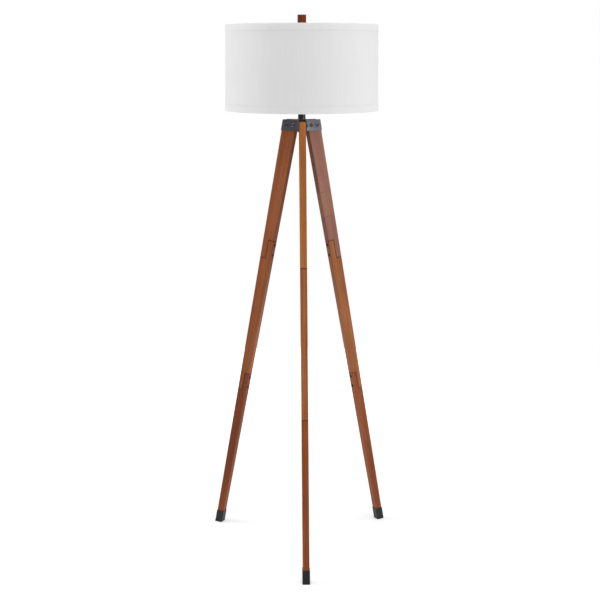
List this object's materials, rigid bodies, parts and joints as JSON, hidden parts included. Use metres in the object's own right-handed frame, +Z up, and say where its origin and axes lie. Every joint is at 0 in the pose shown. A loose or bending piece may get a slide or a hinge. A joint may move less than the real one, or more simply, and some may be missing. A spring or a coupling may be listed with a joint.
{
  "type": "tripod floor lamp",
  "caption": "Floor lamp on a tripod of flat tapered wood legs, with a steel hub, a white fabric drum shade on a harp, a screw-in bulb and a square wood finial.",
  "frame": {"origin": "on the floor, under the middle of the whole lamp's outline; the lamp's own vertical axis stands 48.02 mm behind it, at +Y", "axes": "+Z up; the front leg points along -Y and the other two lie 120 degrees to either side of it; +X to the right as seen from the front"},
  "size_m": [0.5718, 0.5526, 1.6555],
  "materials": {
    "stained_wood": "solid hardwood, reddish-brown stain, satin lacquer",
    "finial_wood": "solid hardwood, reddish-brown stain, satin lacquer",
    "gunmetal": "gunmetal grey steel, satin",
    "black_steel": "black powder-coated steel",
    "black_screw": "black-oxide steel",
    "black_rubber": "moulded black rubber",
    "zinc_steel": "zinc-plated steel",
    "brass": "plain brass",
    "dark_brass": "dark bronze plated metal",
    "white_nylon": "moulded nylon",
    "fibre_board": "vulcanised fibre",
    "phenolic": "black moulded phenolic",
    "bulb_solder": "solder",
    "black_glass": "black vitrite glass",
    "bulb_aluminium": "rolled aluminium",
    "frosted_glass": "frosted glass",
    "white_linen": "off-white woven linen",
    "white_styrene": "white styrene film",
    "white_wire": "white-coated steel wire"
  },
  "bodies": {
    "tripod": {"front_leg_lower": "stained_wood", "front_leg_middle": "stained_wood", "front_leg_upper": "stained_wood", "front_foot_cap": "black_steel", "front_foot_pad": "black_rubber", "right_leg_lower": "stained_wood", "right_leg_middle": "stained_wood", "right_leg_upper": "stained_wood", "right_foot_cap": "black_steel", "right_foot_pad": "black_rubber", "left_leg_lower": "stained_wood", "left_leg_middle": "stained_wood", "left_leg_upper": "stained_wood", "left_foot_cap": "black_steel", "left_foot_pad": "black_rubber", "foot_screws": "zinc_steel", "upper_joint_screws": "black_screw", "lower_joint_screws": "black_screw", "joint_inserts": "brass", "hub_bolts": "black_screw", "hub_sleeve_nuts": "black_screw", "hub_plate_front_right": "gunmetal", "hub_plate_back": "gunmetal", "hub_plate_front_left": "gunmetal", "hub_core": "gunmetal", "stem_tube": "gunmetal", "stem_ring": "gunmetal", "bottom_washer": "gunmetal", "bottom_nut": "gunmetal", "lamp_pipe": "zinc_steel", "lock_washer": "zinc_steel", "cord_bushing": "white_nylon", "socket_cap": "dark_brass", "socket_shell": "dark_brass", "cap_set_screw": "zinc_steel", "socket_liner": "fibre_board", "socket_body": "phenolic", "terminal_screws": "brass", "screw_shell": "brass", "centre_contact": "brass", "harp_saddle": "dark_brass", "harp_wire": "dark_brass", "harp_stud": "dark_brass"},
    "shade": {"shade_fabric": "white_linen", "shade_liner": "white_styrene", "shade_spider": "white_wire", "shade_bottom_ring": "white_wire"},
    "finial": {"finial_base": "dark_brass", "finial_block": "finial_wood"},
    "bulb": {"bulb_tip": "bulb_solder", "bulb_insulator": "black_glass", "bulb_base": "bulb_aluminium", "bulb_glass": "frosted_glass"},
    "switch": {"switch_spindle": "zinc_steel", "switch_knob": "phenolic"},
    "ferrule_left": {"harp_ferrule_left": "dark_brass"},
    "ferrule_right": {"harp_ferrule_right": "dark_brass"}
  },
  "joints": [
    {"name": "shade_turn", "type": "hinge", "parent": "tripod", "child": "shade", "pos_m": [0, 0.04802, 1.6141], "axis": [0, 0, 1], "continuous": true},
    {"name": "finial_turn", "type": "hinge", "parent": "tripod", "child": "finial", "pos_m": [0, 0.04802, 1.6154], "axis": [0, 0, 1], "continuous": true},
    {"name": "bulb_turn", "type": "hinge", "parent": "tripod", "child": "bulb", "pos_m": [0, 0.04802, 1.4308], "axis": [0, 0, 1], "continuous": true},
    {"name": "switch_turn", "type": "hinge", "parent": "tripod", "child": "switch", "pos_m": [0, 0.02802, 1.4163], "axis": [0, -1, 0], "continuous": true},
    {"name": "ferrule_left_slide", "type": "slide", "parent": "tripod", "child": "ferrule_left", "axis": [0, 0, 1], "range_m": [0, 0.018]},
    {"name": "ferrule_right_slide", "type": "slide", "parent": "tripod", "child": "ferrule_right", "axis": [0, 0, 1], "range_m": [0, 0.018]}
  ]
}
